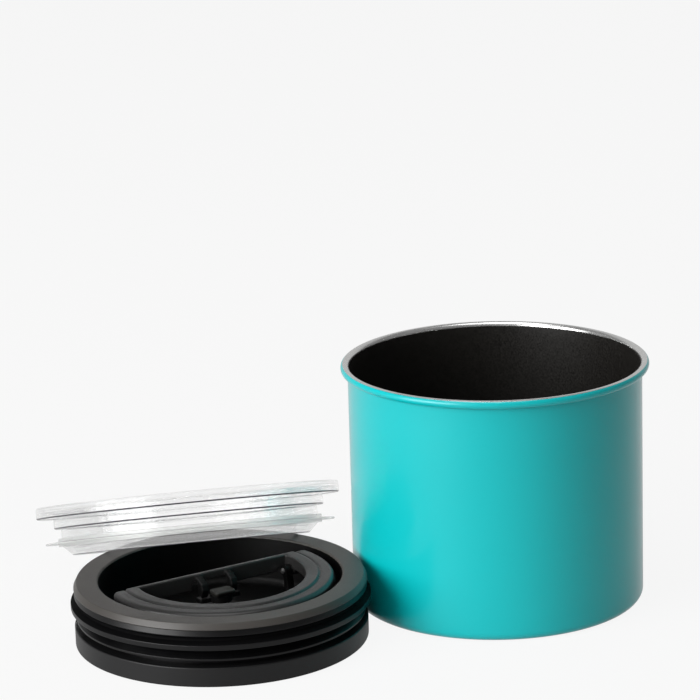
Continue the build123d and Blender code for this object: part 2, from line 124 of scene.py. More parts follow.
class Tree:
    """Node tree with short calls for adding and joining nodes."""

    def __init__(self, tree: bpy.types.NodeTree) -> None:
        """Keeps the tree."""
        self.tree = tree

    def feed(self, node: bpy.types.Node, inputs: Inputs) -> None:
        """Links or sets inputs of a node.

        Args:
            node: The node.
            inputs: Socket or value for each input, by its name or number.
        """
        for key, value in inputs.items():
            if isinstance(value, bpy.types.NodeSocket):
                self.tree.links.new(value, node.inputs[key])
            else:
                node.inputs[key].default_value = value

    def add(self, kind: str, inputs: Inputs | None = None, **values: object) -> bpy.types.Node:
        """Adds a node.

        Args:
            kind: Node type.
            inputs: Socket or value for each input, by its name or number.
            values: Properties of the node.

        Returns:
            The new node.
        """
        node = self.tree.nodes.new(kind)
        for key, value in values.items():
            setattr(node, key, value)
        self.feed(node, inputs or {})
        return node

    def calc(self, operation: str, *terms: object) -> bpy.types.NodeSocket:
        """Adds a Math node.

        Args:
            operation: Operation of the node.
            terms: Sockets or numbers that it takes.

        Returns:
            The result's socket.
        """
        return self.add("ShaderNodeMath", dict(enumerate(terms)), operation=operation).outputs[0]


@dataclass(frozen=True)
class Grain:
    """Noise on Object coordinates: features per metre, octaves, and scale along each axis."""

    scale: float
    detail: float = 2.0
    stretch: Place = (1, 1, 1)


class Shading(Tree):
    """A material's node tree round one Principled shader."""

    def __init__(self, name: str) -> None:
        """Starts a material with a fresh Principled shader.

        Args:
            name: Name of the material.
        """
        self.material = bpy.data.materials.new(name)
        self.material.use_nodes = True
        super().__init__(self.material.node_tree)
        self.tree.nodes.clear()
        self.output = self.add("ShaderNodeOutputMaterial")
        self.shader = self.add("ShaderNodeBsdfPrincipled")
        self.feed(self.output, {"Surface": self.shader.outputs["BSDF"]})
        self.noises: dict[Grain, bpy.types.NodeSocket] = {}

    def noise(self, grain: Grain) -> bpy.types.NodeSocket:
        """Adds a grain's noise, or finds it again.

        Args:
            grain: The grain.

        Returns:
            The noise's socket.
        """
        if grain not in self.noises:
            place = self.add("ShaderNodeTexCoord").outputs["Object"]
            mapping = self.add("ShaderNodeMapping", {"Vector": place, "Scale": grain.stretch})
            noise = self.add("ShaderNodeTexNoise", {
                "Vector": mapping.outputs["Vector"], "Scale": grain.scale, "Detail": grain.detail,
            })
            self.noises[grain] = noise.outputs["Fac"]
        return self.noises[grain]

    def wear(self, grain: Grain, roughness: float, span: Span) -> bpy.types.NodeSocket:
        """Varies the roughness by a noise.

        Args:
            grain: The noise's grain.
            roughness: The finish's roughness.
            span: Its factors at the noise's low and high ends.

        Returns:
            The roughness's socket.
        """
        low, high = (roughness * factor for factor in span)
        remap = self.add("ShaderNodeMapRange", {
            "Value": self.noise(grain), "From Min": NOISE_LOW, "From Max": NOISE_HIGH,
            "To Min": low, "To Max": high,
        })
        return remap.outputs["Result"]

    def tint(self, grain: Grain, colour: Colour, tones: Span) -> bpy.types.NodeSocket:
        """Blends the base colour between a darker and a lighter tone by a noise.

        Args:
            grain: The noise's grain.
            colour: The finish's colour.
            tones: Its factors at the noise's low and high ends.

        Returns:
            The colour's socket.
        """
        ramp = self.add("ShaderNodeValToRGB", {"Fac": self.noise(grain)})
        places = (NOISE_LOW, NOISE_HIGH)
        for stop, place, factor in zip(ramp.color_ramp.elements, places, tones):
            stop.position = place
            stop.color = (*(channel * factor for channel in colour), 1)
        return ramp.outputs["Color"]

    def relief(self, grain: Grain, depth: float, strength: float) -> bpy.types.NodeSocket:
        """Raises the surface by a noise.

        Args:
            grain: The noise's grain.
            depth: Height of the relief in metres.
            strength: Strength of the bump.

        Returns:
            The normal's socket.
        """
        bump = self.add("ShaderNodeBump", {
            "Height": self.noise(grain), "Strength": strength, "Distance": depth,
        })
        return bump.outputs["Normal"]


class FormTree(Tree):
    """Geometry node tree with named inputs and one form as its output."""

    def __init__(self, name: str, inputs: dict[str, str], output: str) -> None:
        """Starts the tree.

        Args:
            name: Name of the tree.
            inputs: Socket type of each input.
            output: Name of the output.
        """
        super().__init__(bpy.data.node_groups.new(name, "GeometryNodeTree"))
        for label, kind in inputs.items():
            self.tree.interface.new_socket(label, in_out="INPUT", socket_type=kind)
        self.tree.interface.new_socket(output, in_out="OUTPUT", socket_type="NodeSocketGeometry")
        self.inputs = self.add("NodeGroupInput").outputs

    def finish(
        self,
        form: bpy.types.NodeSocket,
        materials: list[bpy.types.Material],
        zone: bpy.types.NodeSocket | None = None,
    ) -> None:
        """Smooths and realizes the form, then gives each zone its finish.

        Args:
            form: The form's socket.
            materials: Finish of each zone.
            zone: Number of each face's zone; one finish covers all where it is left out.
        """
        flow = self.add("GeometryNodeSetShadeSmooth", {"Geometry": form}).outputs["Geometry"]
        flow = self.add("GeometryNodeRealizeInstances", {"Geometry": flow}).outputs["Geometry"]
        for index, material in enumerate(materials):
            paint = self.add("GeometryNodeSetMaterial", {"Geometry": flow, "Material": material})
            if zone is not None:
                same = self.add("FunctionNodeCompare", data_type="INT", operation="EQUAL")
                left, right = [n for n, entry in enumerate(same.inputs) if entry.type == "INT"]
                self.feed(same, {left: zone, right: index})
                self.feed(paint, {"Selection": same.outputs["Result"]})
            flow = paint.outputs["Geometry"]
        self.add("NodeGroupOutput", {0: flow})


class TurnedTree(FormTree):
    """Turns an outline about Z into a closed form with one finish for each zone."""

    def __init__(self, name: str, materials: list[bpy.types.Material]) -> None:
        """Builds the tree: a grid whose columns take the outline's points in turn.

        Args:
            name: Name of the tree.
            materials: Finish of each zone.
        """
        super().__init__(name, {
            "Outline": "NodeSocketGeometry",
            "Outline points": "NodeSocketInt",
            "Steps around": "NodeSocketInt",
        }, "Form")
        # A unit grid with a column for each point of the outline and a row for each step round
        columns = self.inputs["Outline points"]
        grid = self.add("GeometryNodeMeshGrid", {
            "Size X": 1.0, "Size Y": 1.0, "Vertices X": columns,
            "Vertices Y": self.calc("ADD", self.inputs["Steps around"], 1.0),
        })
        place = self.add("GeometryNodeInputPosition").outputs[0]
        split = self.add("ShaderNodeSeparateXYZ", {0: place}).outputs
        last = self.calc("SUBTRACT", columns, 1.0)
        column = self.calc("MULTIPLY", self.calc("ADD", split["X"], 0.5), last)
        angle = self.calc("MULTIPLY", self.calc("ADD", split["Y"], 0.5), 2 * math.pi)
        # Each face takes the zone of the outline's run that it lies on
        zone = self.add("GeometryNodeInputNamedAttribute", {"Name": "zone"}, data_type="INT")
        number = zone.outputs["Attribute"]
        store = self.add("GeometryNodeStoreNamedAttribute", {
            "Name": "zone", "Geometry": grid.outputs["Mesh"],
            "Value": self._at("INT", number, self.calc("FLOOR", column)),
        }, data_type="INT", domain="FACE")
        # Each point takes the outline's place, turned by its row's angle
        point = self._at("FLOAT_VECTOR", place, self.calc("ROUND", column))
        rotate = self.add(
            "ShaderNodeVectorRotate", {"Vector": point, "Angle": angle}, rotation_type="Z_AXIS"
        )
        put = self.add("GeometryNodeSetPosition", {
            "Geometry": store.outputs["Geometry"], "Position": rotate.outputs["Vector"],
        })
        merge = self.add("GeometryNodeMergeByDistance", {
            "Geometry": put.outputs["Geometry"], "Distance": SAME_SEAM,
        })
        self.finish(merge.outputs["Geometry"], materials, number)

    def _at(
        self, kind: str, value: bpy.types.NodeSocket, index: bpy.types.NodeSocket
    ) -> bpy.types.NodeSocket:
        """Reads a value at one point of the outline.

        Args:
            kind: Data type of the value.
            value: The value's socket.
            index: Number of the point.

        Returns:
            The result's socket.
        """
        sample = self.add("GeometryNodeSampleIndex", {
            "Geometry": self.inputs["Outline"], "Value": value, "Index": index,
        }, data_type=kind, domain="POINT")
        return sample.outputs["Value"]


class CoilTree(FormTree):
    """Winds a round wire with closed ends about Z."""

    def __init__(self, name: str, material: bpy.types.Material, facets: int, sides: int) -> None:
        """Builds the tree.

        Args:
            name: Name of the tree.
            material: Finish of the wire.
            facets: Facets of each turn.
            sides: Facets round the wire.
        """
        super().__init__(name, {
            "Geometry": "NodeSocketGeometry",
            "Turns": "NodeSocketFloat",
            "Radius": "NodeSocketFloat",
            "Height": "NodeSocketFloat",
            "Wire radius": "NodeSocketFloat",
        }, "Coil")
        radius = self.inputs["Radius"]
        spiral = self.add("GeometryNodeCurveSpiral", {
            "Resolution": facets, "Rotations": self.inputs["Turns"], "Start Radius": radius,
            "End Radius": radius, "Height": self.inputs["Height"],
        })
        section = self.add("GeometryNodeCurvePrimitiveCircle", {
            "Resolution": sides, "Radius": self.inputs["Wire radius"],
        })
        wire = self.add("GeometryNodeCurveToMesh", {
            "Curve": spiral.outputs["Curve"], "Profile Curve": section.outputs["Curve"],
            "Fill Caps": True,
        })
        self.finish(wire.outputs["Mesh"], [material])


# Finishes


@dataclass(frozen=True)
class Finish:
    """A finish: its shader's settings, and the grains that vary its colour, roughness and relief.

    The spans of tones and wear are factors at a noise's low and high ends. The relief is its
    depth in metres and its strength. Extras are further sockets with their values.
    """

    name: str
    colour: Colour
    roughness: float
    gloss: float = 0.5
    ior: float = 1.5
    tones: Span = (0.95, 1.0)
    wear: Span = (0.9, 1.2)
    relief: Span = (0.0, 0.0)
    tinted_by: Grain | None = None
    worn_by: Grain | None = None
    raised_by: Grain | None = None
    extras: Extras = ()

    def shading(self) -> Shading:
        """Builds the finish.

        Returns:
            The material's tree.
        """
        tree = Shading(self.name)
        inputs: Inputs = {
            "Base Color": (*self.colour, 1), "Roughness": self.roughness,
            "IOR": self.ior, "Specular IOR Level": self.gloss, **dict(self.extras),
        }
        if self.tinted_by:
            inputs["Base Color"] = tree.tint(self.tinted_by, self.colour, self.tones)
        if self.worn_by:
            inputs["Roughness"] = tree.wear(self.worn_by, self.roughness, self.wear)
        if self.raised_by:
            inputs["Normal"] = tree.relief(self.raised_by, *self.relief)
        tree.feed(tree.shader, inputs)
        return tree

    def make(self) -> bpy.types.Material:
        """Returns the material."""
        return self.shading().material


@dataclass(frozen=True)
class Enamel(Finish):
    """Gloss enamel over steel, with the faint orange peel of a sprayed coat."""

    name: str = "teal_enamel"
    colour: Colour = (0.0, 0.485, 0.505)
    roughness: float = 0.14
    gloss: float = 0.12
    tones: Span = (0.96, 1.04)
    wear: Span = (0.85, 1.2)
    relief: Span = (0.00002, 0.12)
    tinted_by: Grain = Grain(9.0, 1.0)
    worn_by: Grain = Grain(420.0, 1.0)
    raised_by: Grain = Grain(420.0, 1.0)
    extras: Extras = (
        ("Coat Weight", 1.0), ("Coat Roughness", 0.33), ("Coat IOR", 1.4)
    )


@dataclass(frozen=True)
class BareSteel(Finish):
    """Bare steel with fine lines, which run round the axis along the rim."""

    name: str = "rim_steel"
    colour: Colour = (0.86, 0.86, 0.85)
    roughness: float = 0.27
    tinted_by: Grain = Grain(160.0, 3.0, (1, 1, 6))
    worn_by: Grain = Grain(160.0, 3.0, (1, 1, 6))
    extras: Extras = (("Metallic", 1.0),)


@dataclass(frozen=True)
class DarkCoating(Finish):
    """Dark satin coating of the canister's inside, finely speckled."""

    name: str = "dark_coating"
    colour: Colour = (0.0095, 0.0086, 0.0074)
    roughness: float = 0.44
    gloss: float = 0.35
    tones: Span = (0.6, 1.5)
    wear: Span = (0.8, 1.25)
    relief: Span = (0.00006, 0.35)
    tinted_by: Grain = Grain(1500.0)
    worn_by: Grain = Grain(1500.0)
    raised_by: Grain = Grain(1500.0)


@dataclass(frozen=True)
class MouldedPlastic(Finish):
    """Moulded plastic with a fine spark-eroded grain."""

    ior: float = 1.46
    tones: Span = (0.9, 1.12)
    wear: Span = (0.9, 1.12)
    relief: Span = (0.00004, 0.3)
    tinted_by: Grain = Grain(35.0)
    worn_by: Grain = Grain(2600.0, 3.0)
    raised_by: Grain = Grain(2600.0, 3.0)


@dataclass(frozen=True)
class Silicone(Finish):
    """Dark silicone rubber with faint handling marks."""

    name: str = "dark_silicone"
    colour: Colour = (0.0015, 0.0015, 0.0018)
    roughness: float = 0.36
    gloss: float = 0.38
    ior: float = 1.43
    tones: Span = (0.85, 1.25)
    wear: Span = (0.88, 1.15)
    relief: Span = (0.00003, 0.2)
    tinted_by: Grain = Grain(55.0, 4.0)
    worn_by: Grain = Grain(55.0, 4.0)
    raised_by: Grain = Grain(1200.0)


@dataclass(frozen=True)
class ClearPlastic(Finish):
    """Clear polished plastic, also see-through beside what it transmits."""

    name: str = "clear_plastic"
    colour: Colour = (1.0, 1.0, 1.0)
    roughness: float = 0.03
    ior: float = 1.49
    wear: Span = (0.6, 1.6)
    worn_by: Grain = Grain(18.0, 1.0)
    extras: Extras = (("Transmission Weight", 1.0), ("Alpha", 0.36))


@dataclass(frozen=True)
class ClearSilicone(Finish):
    """Translucent silicone, milky and matte."""

    name: str = "clear_silicone"
    colour: Colour = (0.95, 0.97, 0.95)
    roughness: float = 0.3
    ior: float = 1.3
    wear: Span = (0.9, 1.1)
    tinted_by: Grain = Grain(45.0)
    worn_by: Grain = Grain(45.0)
    extras: Extras = (("Transmission Weight", 0.85), ("Alpha", 0.5))


@dataclass(frozen=True)
class StudioPaper(Finish):
    """Pale paper of the floor and the backdrop, lifted towards white where it is seen."""

    name: str = "studio_paper"
    colour: Colour = (0.5, 0.5, 0.497)
    roughness: float = 0.9
    gloss: float = 0.1
    tones: Span = (0.995, 1.0)
    tinted_by: Grain = Grain(300.0, 3.0)
    lift: float = 0.9
    mirrored: float = 0.5

    def shading(self) -> Shading:
        """Builds the paper, with a glow that the camera, gloss and clear plastic see.

        Returns:
            The material's tree.
        """
        tree = super().shading()
        glow = tree.add("ShaderNodeEmission", {"Color": (1.0, 1.0, 1.0, 1.0)})
        ray = tree.add("ShaderNodeLightPath").outputs
        glossy = tree.calc("MULTIPLY", ray["Is Glossy Ray"], self.mirrored)
        either = tree.calc("MAXIMUM", ray["Is Camera Ray"], glossy)
        any_of = tree.calc("MAXIMUM", either, ray["Is Transmission Ray"])
        mix = tree.add("ShaderNodeMixShader", {
            0: tree.calc("MULTIPLY", any_of, self.lift),
            1: tree.shader.outputs["BSDF"],
            2: glow.outputs["Emission"],
        })
        tree.feed(tree.output, {"Surface": mix.outputs["Shader"]})
        return tree


class Finishes:
    """One material of each finish, made once and shared by the pieces."""

    def __init__(self) -> None:
        """Makes the materials."""
        fine = Grain(160.0, 3.0)
        solid = (("Transmission Weight", 1.0), ("Alpha", 1.0))
        self.enamel = Enamel().make()
        self.rim_steel = BareSteel().make()
        self.pin_steel = BareSteel(
            "pin_steel", (0.36, 0.36, 0.36), 0.42, tinted_by=fine, worn_by=fine
        ).make()
        self.coating = DarkCoating().make()
        # The lid's one plastic in two copies: the near-black one on the dish is painted shade, the
        # lighter warm one on the flange is painted light.
        self.lid = MouldedPlastic("lid_plastic", (0.0008, 0.0008, 0.0008), 0.5, 0.14).make()
        self.flange = MouldedPlastic("flange_painted_light_plastic", (0.05, 0.046, 0.042), 0.42).make()
        self.ring = MouldedPlastic("ring_plastic", (0.006, 0.006, 0.0064), 0.42, 0.38).make()
        self.grip = MouldedPlastic(
            "grip_plastic", (0.018, 0.0176, 0.0174), 0.3, relief=(0.000005, 0.3)
        ).make()
        # This plastic also covers the cam lobes moulded on the handle, where it is painted shade on
        # the grip's own plastic.
        self.valve = MouldedPlastic("valve_plastic", (0.0012, 0.0012, 0.0012), 0.55, 0.22).make()
        self.button = MouldedPlastic("button_plastic", (0.017, 0.017, 0.0145), 0.45).make()
        self.silicone = Silicone().make()
        # The seal's silicone darkened as painted shade in the upper seal's groove.
        self.groove_shade = Silicone("groove_painted_shade_silicone", (0.0004, 0.0004, 0.0006), 0.7, 0.08).make()
        self.clear = ClearPlastic().make()
        # A dark, solid copy of the clear plastic: painted dark refraction lines along the clear
        # lid's lower edges.
        self.edge = ClearPlastic("clear_edge_painted_dark", (0.01, 0.009, 0.012), 0.2, 0.1, extras=solid).make()
        self.clear_silicone = ClearSilicone().make()
        self.paper = StudioPaper().make()


# Outlines


def angle_of(cosine: float) -> float:
    """Returns the angle of a cosine that rounding may have pushed past its limits."""
    return math.acos(max(-1.0, min(1.0, cosine)))


def on_arc(centre: Vector, radius: float, degrees: float) -> Vector:
    """Returns the point of a circle at an angle in degrees."""
    turn = math.radians(degrees)
    return centre + radius * Vector((math.cos(turn), math.sin(turn)))


def fillet_points(here: Vector, before: Vector, after: Vector, fillet: float) -> list[Vector]:
    """Rounds one corner.

    Args:
        here: The corner.
        before: Direction back along the outline.
        after: Direction on along the outline.
        fillet: Radius of the rounding.

    Returns:
        Points of the arc.
    """
    half = angle_of(before.dot(after)) / 2
    reach = fillet / math.tan(half)
    centre = here + (before + after).normalized() * fillet / math.sin(half)
    start, end = here + before * reach - centre, here + after * reach - centre
    sweep = angle_of(start.dot(end) / fillet**2)
    points = []
    for step in range(FILLET_STEPS + 1):
        share = step / FILLET_STEPS
        from_start = math.sin((1 - share) * sweep) / math.sin(sweep)
        from_end = math.sin(share * sweep) / math.sin(sweep)
        points.append(centre + start * from_start + end * from_end)
    return points


def rounded(corners: list[Corner]) -> list[Point]:
    """Rounds the corners of an outline and adds points that hold the flats flat.

    Args:
        corners: Radius, height and optional fillet of each corner.

    Returns:
        Points of the closed outline.
    """
    points: list[Vector] = []
    for index, (radius, height, *fillet) in enumerate(corners):
        here = Vector((radius, height))
        before = (Vector(corners[index - 1][:2]) - here).normalized()
        after = (Vector(corners[(index + 1) % len(corners)][:2]) - here).normalized()
        if fillet:
            points.extend(fillet_points(here, before, after, fillet[0]))
        else:
            points.append(here)
    held: list[Point] = []
    for index, point in enumerate(points):
        following = points[(index + 1) % len(points)]
        run = following - point
        held.append(tuple(point))
        if run.length > HELD_RUN:
            held.append(tuple(point + run.normalized() * HOLD))
            held.append(tuple(following - run.normalized() * HOLD))
    return held


def outline_mesh(points: list[Point], zones: list[int]) -> bpy.types.Mesh:
    """Makes a chain of points in the X-Z plane, the last one a copy of the first.

    Args:
        points: Radius and height of each point, in millimetres.
        zones: Finish of the run that starts at each point.

    Returns:
        A mesh with the points and their zones.
    """
    mesh = bpy.data.meshes.new("outline")
    chain = [*points, points[0]]
    mesh.from_pydata([(radius * MM, 0.0, height * MM) for radius, height in chain], [], [])
    store = mesh.attributes.new("zone", "INT", "POINT")
    for index, zone in enumerate([*zones, zones[0]]):
        store.data[index].value = int(zone)
    return mesh


# Mesh makers


def linked(name: str, mesh: bpy.types.Mesh) -> bpy.types.Object:
    """Puts a mesh in the scene.

    Args:
        name: Name of the object.
        mesh: Its mesh.

    Returns:
        The object, at the origin.
    """
    piece = bpy.data.objects.new(name, mesh)
    bpy.context.scene.collection.objects.link(piece)
    return piece


def plain_mesh(name: str, source: bpy.types.Object) -> bpy.types.Mesh:
    """Takes the evaluated form of an object, which is then removed.

    Args:
        name: Name of the mesh.
        source: Object with live modifiers.

    Returns:
        A plain mesh.
    """
    bpy.context.view_layer.update()
    graph = bpy.context.evaluated_depsgraph_get()
    mesh = bpy.data.meshes.new_from_object(source.evaluated_get(graph))
    bpy.data.objects.remove(source)
    mesh.name = name
    return mesh


def grown(
    name: str, seed: bpy.types.Mesh, tree: FormTree, sizes: dict[str, float]
) -> bpy.types.Object:
    """Lets a geometry tree grow a form from a seed mesh.

    Args:
        name: Name of the piece.
        seed: Mesh that the tree takes.
        tree: The tree.
        sizes: Values of the tree's inputs.

    Returns:
        An object with the live modifier.
    """
    source = linked(name + "_seed", seed)
    modifier = source.modifiers.new("Form", "NODES")
    modifier.node_group = tree.tree
    for item in tree.tree.interface.items_tree:
        if item.item_type == "SOCKET" and item.in_out == "INPUT" and item.name in sizes:
            modifier[item.identifier] = sizes[item.name]
    return source


def settle(
    name: str, source: bpy.types.Object, place: Matrix, sharp: float = 32.0
) -> bpy.types.Object:
    """Turns an object with live modifiers into a plain mesh in its place.

    Args:
        name: Name of the finished piece.
        source: Object whose evaluated form is taken; it is removed.
        place: Transform that goes into the mesh.
        sharp: Angle in degrees past which an edge is sharp.

    Returns:
        The finished piece, at the origin.
    """
    mesh = plain_mesh(name, source)
    mesh.transform(place)
    cleaner = bmesh.new()
    cleaner.from_mesh(mesh)
    bmesh.ops.recalc_face_normals(cleaner, faces=cleaner.faces)
    cleaner.to_mesh(mesh)
    cleaner.free()
    mesh.set_sharp_from_angle(angle=math.radians(sharp))
    for attribute in [a for a in mesh.attributes if a.name == "zone"]:
        mesh.attributes.remove(attribute)
    return linked(name, mesh)


def turned(
    name: str,
    outline: list[Point],
    materials: list[bpy.types.Material],
    place: Matrix,
    steps: int = 256,
    zones: list[int] | None = None,
) -> bpy.types.Object:
    """Turns an outline about its axis.

    Args:
        name: Name of the piece.
        outline: Radius and height of each point, in millimetres.
        materials: Finish of each zone.
        place: Where the piece goes.
        steps: Facets round the axis.
        zones: Zone of the run that starts at each point, the first one where it is left out.

    Returns:
        The piece.
    """
    seed = outline_mesh(outline, zones or [0] * len(outline))
    tree = TurnedTree(name + "_turning", materials)
    sizes = {"Outline points": len(outline) + 1, "Steps around": steps}
    return settle(name, grown(name, seed, tree, sizes), place)


def joined_copy(node: str, name: str, slivers: bool) -> bpy.types.Object:
    """Copies a node's mesh and joins its loose triangles.

    Args:
        node: Name of the CAD node.
        name: Name of the piece.
        slivers: Whether triangles without width stay.

    Returns:
        The copy, without a finish.
    """
    mesh = FRAME["nodes"][node].data.copy()
    form = bmesh.new()
    form.from_mesh(mesh)
    bmesh.ops.remove_doubles(form, verts=form.verts, dist=SAME_POINT)
    if not slivers:
        bmesh.ops.dissolve_degenerate(form, edges=form.edges, dist=SLIVER)
    form.to_mesh(mesh)
    form.free()
    mesh.materials.clear()
    return linked(name + "_copy", mesh)


def dress(
    mesh: bpy.types.Mesh, materials: list[bpy.types.Material], zone: Zone | None = None
) -> None:
    """Gives a mesh its finishes and smooth shading.

    Args:
        mesh: The mesh.
        materials: Finish of each zone.
        zone: Gives the zone of a face from its middle; the first one where it is left out.
    """
    for material in materials:
        mesh.materials.append(material)
    for face in mesh.polygons:
        face.material_index = zone(face.center) if zone else 0
        face.use_smooth = True


def carried(
    node: str,
    materials: list[bpy.types.Material],
    zone: Zone | None = None,
    sharp: float = 34.0,
    weight: int = 80,
) -> bpy.types.Object:
    """Copies a node's mesh, joins its triangles and smooths its shading.

    Args:
        node: Name of the CAD node.
        materials: Finish of each zone.
        zone: Gives the zone of a face from its middle.
        sharp: Angle in degrees past which an edge is sharp.
        weight: How much a large face leads the shading of a small one.

    Returns:
        The piece.
    """
    name = node + "_dressed"
    copy = joined_copy(node, name, slivers=False)
    dress(copy.data, materials, zone)
    copy.data.set_sharp_from_angle(angle=math.radians(sharp))
    shading = copy.modifiers.new("Weighted normals", "WEIGHTED_NORMAL")
    shading.keep_sharp = True
    shading.weight = weight
    return linked(name, plain_mesh(name, copy))


def softened(
    node: str,
    materials: list[bpy.types.Material],
    zone: Zone,
    grain: float = 0.34,
    rounds: int = 9,
    ease: float = 0.5,
    sharp: float = 60.0,
) -> bpy.types.Object:
    """Copies a node's mesh with its edges eased, as on a moulded grip.

    Args:
        node: Name of the CAD node.
        materials: Finish of each zone.
        zone: Gives the zone of a face from its middle.
        grain: Size of the new facets in millimetres.
        rounds: Passes of easing.
        ease: Strength of each pass.
        sharp: Angle in degrees past which an edge is sharp.

    Returns:
        The piece.
    """
    name = node + "_dressed"
    copy = joined_copy(node, name, slivers=True)
    facets = copy.modifiers.new("Even facets", "REMESH")
    facets.mode = "VOXEL"
    facets.voxel_size = grain * MM
    easing = copy.modifiers.new("Easing", "SMOOTH")
    easing.factor = ease
    easing.iterations = rounds
    piece = settle(name, copy, Matrix(), sharp=sharp)
    dress(piece.data, materials, zone)
    return piece


def hand_over(piece: bpy.types.Object, body: Body, slot: str, *nodes: str) -> None:
    """Lets a piece ride on its body and stand for CAD nodes, which it hides.

    Args:
        piece: The piece.
        body: Body that it moves with.
        slot: Material slot of the record; not used.
        nodes: CAD nodes that it stands for.
    """
    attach(piece, body.value)
    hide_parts(*nodes)
    log.info("%s rides on %s, %d faces", piece.name, body.value, len(piece.data.polygons))


# Sub-assemblies


@dataclass
class Canister:
    """Steel canister: enamelled outside, coated inside, bare along the rolled rim."""

    finishes: Finishes
    height: float = 101.4
    bore: float = 59.9
    sheet: float = 0.6
    curl: float = 1.75
    curl_start: float = 180.0
    curl_sweep: float = 295.0
    curl_steps: int = 36
    steel_from: float = 186.0
    steel_to: float = 58.0
    foot_fillet: float = 3.5
    foot_land: float = 3.0
    foot_steps: tuple[int, int] = (8, 10)
    inside_rows: tuple[float, ...] = (8.0, 30.0, 60.0, 85.0, 95.0)
    outside_rows: tuple[float, ...] = (90.0, 60.0, 30.0, 8.0)
    steps_around: int = 640
    bead_inset: float = 9.0
    bead_width: float = 4.0
    bead_height: float = 0.8
    bead_fillet: float = 0.9

    def seam(self) -> float:
        """Returns the radius at which the turned-in foot meets the base."""
        return self.bore + self.sheet - self.foot_fillet - self.foot_land

    def curl_arc(self, radius: float) -> list[tuple[float, Point]]:
        """Rolls the sheet outwards and down from the bore.

        Args:
            radius: Radius of the arc.

        Returns:
            Angle in degrees and place of each point.
        """
        centre = Vector((self.bore + self.curl, self.height - self.curl))
        angles = [
            self.curl_start - self.curl_sweep * step / self.curl_steps
            for step in range(self.curl_steps + 1)
        ]
        return [(angle, tuple(on_arc(centre, radius, angle))) for angle in angles]

    def wall(self) -> bpy.types.Object:
        """Makes the wall with its curl and turned-in foot.

        Returns:
            The wall, with zones for coating, bare steel and enamel.
        """
        outer = self.bore + self.sheet
        foot = Vector((outer - self.foot_fillet, self.foot_fillet))
        inner_steps, outer_steps = self.foot_steps
        run: list[tuple[Point, Skin]] = [((self.seam(), self.sheet), Skin.COATING)]
        for step in range(inner_steps + 1):
            angle = -90 + 90 * step / inner_steps
            point = on_arc(foot, self.foot_fillet - self.sheet, angle)
            run.append((tuple(point), Skin.COATING))
        run += [((self.bore, row), Skin.COATING) for row in self.inside_rows]
        for angle, point in self.curl_arc(self.curl):
            bare = self.steel_to <= angle <= self.steel_from
            run.append((point, Skin.STEEL if bare else Skin.ENAMEL))
        for _, point in reversed(self.curl_arc(self.curl - self.sheet)):
            run.append((point, Skin.ENAMEL))
        run += [((outer, row), Skin.ENAMEL) for row in self.outside_rows]
        for step in range(outer_steps + 1):
            point = on_arc(foot, self.foot_fillet, -90 * step / outer_steps)
            run.append((tuple(point), Skin.ENAMEL))
        run.append(((self.seam(), 0.0), Skin.ENAMEL))
        made = self.finishes
        return turned(
            "canister_wall_dressed", [point for point, _ in run],
            [made.coating, made.rim_steel, made.enamel], Matrix(),
            steps=self.steps_around, zones=[skin for _, skin in run],
        )

    def base(self) -> bpy.types.Object:
        """Makes the base disc with its pressed bead.

        Returns:
            The disc: enamel below, coating above.
        """
        seam, sheet, bead, fillet = self.seam(), self.sheet, self.bead_height, self.bead_fillet
        outer = seam - self.bead_inset
        inner = outer - self.bead_width
        slope = bead + sheet
        half = sheet / 2
        below = [
            (0, 0), (inner - slope, 0, fillet), (inner, bead, fillet),
            (outer, bead, fillet), (outer + slope, 0, fillet), (seam, 0),
        ]
        above = [
            (seam, sheet), (outer + slope - half, sheet, fillet),
            (outer - half, bead + sheet, fillet), (inner + half, bead + sheet, fillet),
            (inner - slope + half, sheet, fillet), (0, sheet),
        ]
        points = rounded(below + above)
        split = next(
            index for index, (radius, height) in enumerate(points)
            if radius > seam - TOUCH and height > half
        )
        zones = [int(index >= split) for index in range(len(points))]
        made = self.finishes
        return turned(
            "canister_base_dressed", points, [made.enamel, made.coating], Matrix(), zones=zones
        )

    def build(self) -> None:
        """Makes and places the canister's pieces."""
        hand_over(self.wall(), Body.CANISTER, "teal_enamel", "canister_wall")
        hand_over(self.base(), Body.CANISTER, "dark_coating", "canister_base")


